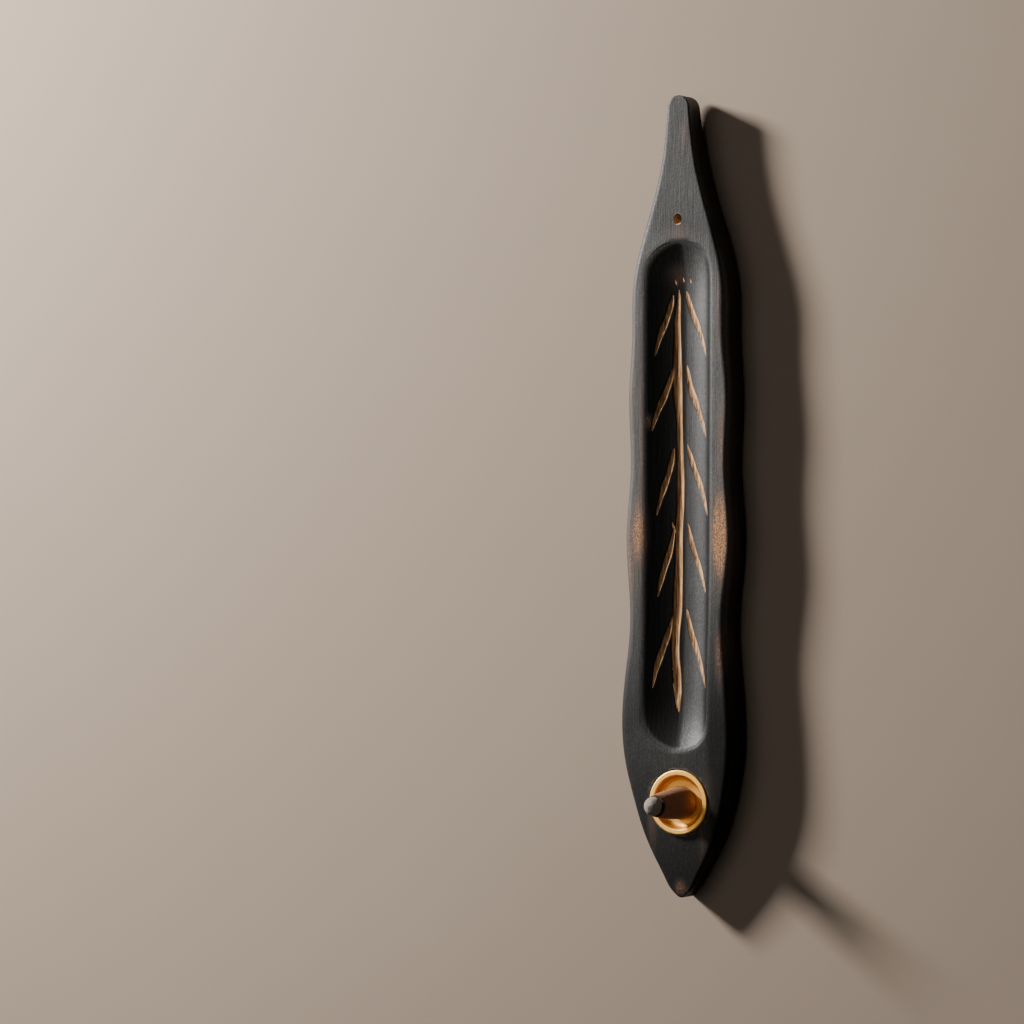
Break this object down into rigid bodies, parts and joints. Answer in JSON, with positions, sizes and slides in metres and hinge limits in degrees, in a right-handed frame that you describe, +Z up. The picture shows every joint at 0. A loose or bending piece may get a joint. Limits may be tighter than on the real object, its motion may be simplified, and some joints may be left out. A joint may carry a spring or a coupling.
{
  "type": "incense holder",
  "caption": "Carved wooden incense holder: a long leaf-shaped board with an ash trough, a stick hole and a brass dish that holds a cone.",
  "frame": {"origin": "middle of the board's length and width, on the surface that its flat back lies on", "axes": "+Z is up, out of the carved face; +X runs along the board from its sharp point, where the dish is, to its narrow beak; +Y is the other side, to the left when looking along +X from above"},
  "size_m": [0.268, 0.0416, 0.0339],
  "materials": {
    "stained_wood": "dark stain, worn through to brown on the high edges",
    "brass": "satin",
    "incense": "pressed powder, matt",
    "ash": "crumbly, matt"
  },
  "bodies": {
    "holder": {"holder_board": "stained_wood", "cone_dish": "brass"},
    "cone": {"incense_cone": "incense", "ash_tip": "ash"}
  },
  "joints": [
    {"name": "cone_lift", "type": "slide", "parent": "holder", "child": "cone", "axis": [0, 0, 1], "range_m": [0, 0.03]}
  ]
}
